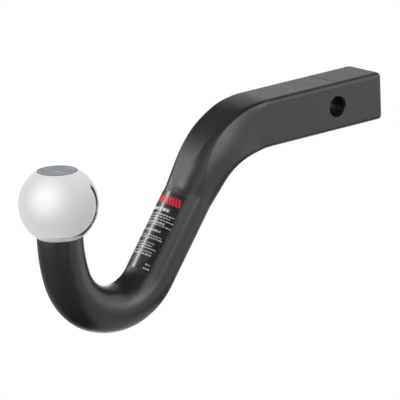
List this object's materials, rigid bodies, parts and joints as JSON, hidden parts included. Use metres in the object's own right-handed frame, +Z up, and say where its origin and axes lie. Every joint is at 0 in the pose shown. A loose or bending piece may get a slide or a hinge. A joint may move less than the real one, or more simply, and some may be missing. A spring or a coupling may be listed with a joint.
{
  "type": "swan-neck trailer ball mount",
  "caption": "Forged swan-neck ball mount: square shank with a cross pin hole, round hooked neck and a chrome flat-topped towing ball.",
  "frame": {"origin": "centre of the hitch-pin hole, on the centreline of the square shank", "axes": "+X along the shank from the ball towards the open shank end, +Y along the pin hole to the left, +Z up"},
  "size_m": [0.2906, 0.0508, 0.1312],
  "materials": {
    "powder_coated_steel": "satin black powder coat",
    "ball_chrome": "polished chrome plate, turned matt on the flat top",
    "label_vinyl": "printed black vinyl",
    "label_clear_film": "clear gloss overlaminate"
  },
  "bodies": {
    "root": {"drawbar": "powder_coated_steel", "trailer_ball": "ball_chrome", "rating_label": "label_vinyl", "label_laminate": "label_clear_film"}
  },
  "joints": []
}
